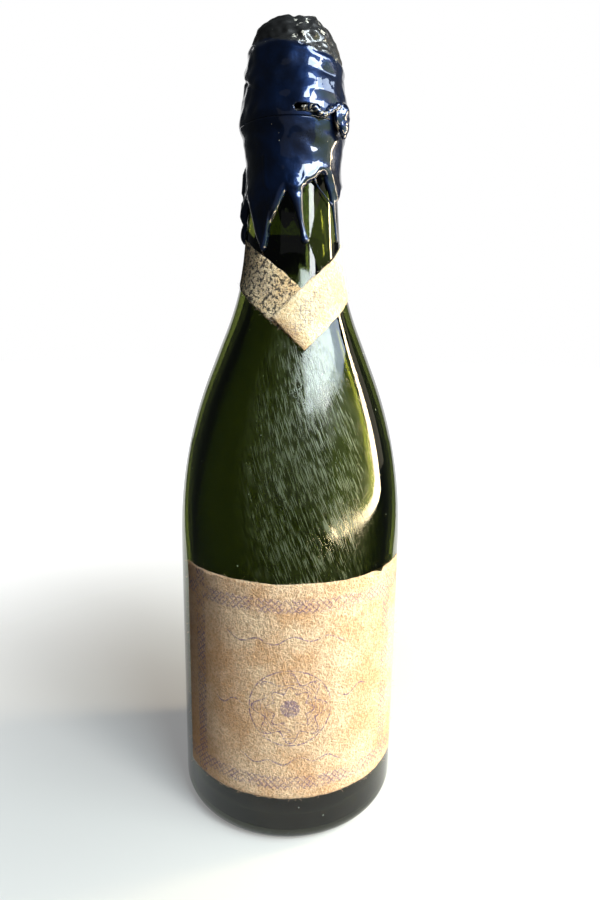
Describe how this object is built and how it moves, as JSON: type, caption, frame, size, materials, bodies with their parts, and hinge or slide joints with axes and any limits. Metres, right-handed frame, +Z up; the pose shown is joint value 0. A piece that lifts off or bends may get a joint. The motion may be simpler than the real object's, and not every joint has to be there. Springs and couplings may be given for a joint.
{
  "type": "champagne bottle",
  "caption": "Sealed sparkling-wine bottle: dark green glass with punt, wine, mushroom cork, wire cage, wax hood with runs, paper label and crossed paper neck band.",
  "frame": {"origin": "middle of the standing ring, on the surface that the bottle stands on", "axes": "+Z up along the bottle's axis, -Y towards the front label, +X to the right of someone who faces the label"},
  "size_m": [0.088, 0.0883, 0.2983],
  "materials": {
    "bottle_glass": "polished",
    "wine": "polished",
    "label_paper": "matte",
    "band_paper": "matte",
    "sealing_wax": "gloss",
    "agglomerate_cork": "matte",
    "natural_cork": "matte",
    "cap_metal": "satin",
    "cage_wire": "satin"
  },
  "bodies": {
    "bottle": {"glass_bottle": "bottle_glass", "wine": "wine", "front_label": "label_paper", "neck_band": "band_paper", "wax_skirt": "sealing_wax"},
    "cork": {"cork_body": "agglomerate_cork", "cork_disc_upper": "natural_cork", "cork_disc_lower": "natural_cork"},
    "hood": {"cap_plate": "cap_metal", "cage_frame": "cage_wire", "cage_belt": "cage_wire", "wax_hood": "sealing_wax"},
    "ear": {"cage_ear": "cage_wire", "ear_wax": "sealing_wax"}
  },
  "joints": [
    {"name": "cork_pull", "type": "slide", "parent": "bottle", "child": "cork", "axis": [0, 0, 1], "range_m": [0, 0.06]},
    {"name": "hood_lift", "type": "slide", "parent": "cork", "child": "hood", "axis": [0, 0, 1], "range_m": [0, 0.04], "deforming": ["cage_belt"]},
    {"name": "ear_fold", "type": "hinge", "parent": "hood", "child": "ear", "pos_m": [0.00245, -0.01741, 0.26439], "axis": [0, 0, -1], "range_deg": [0, 100]}
  ]
}
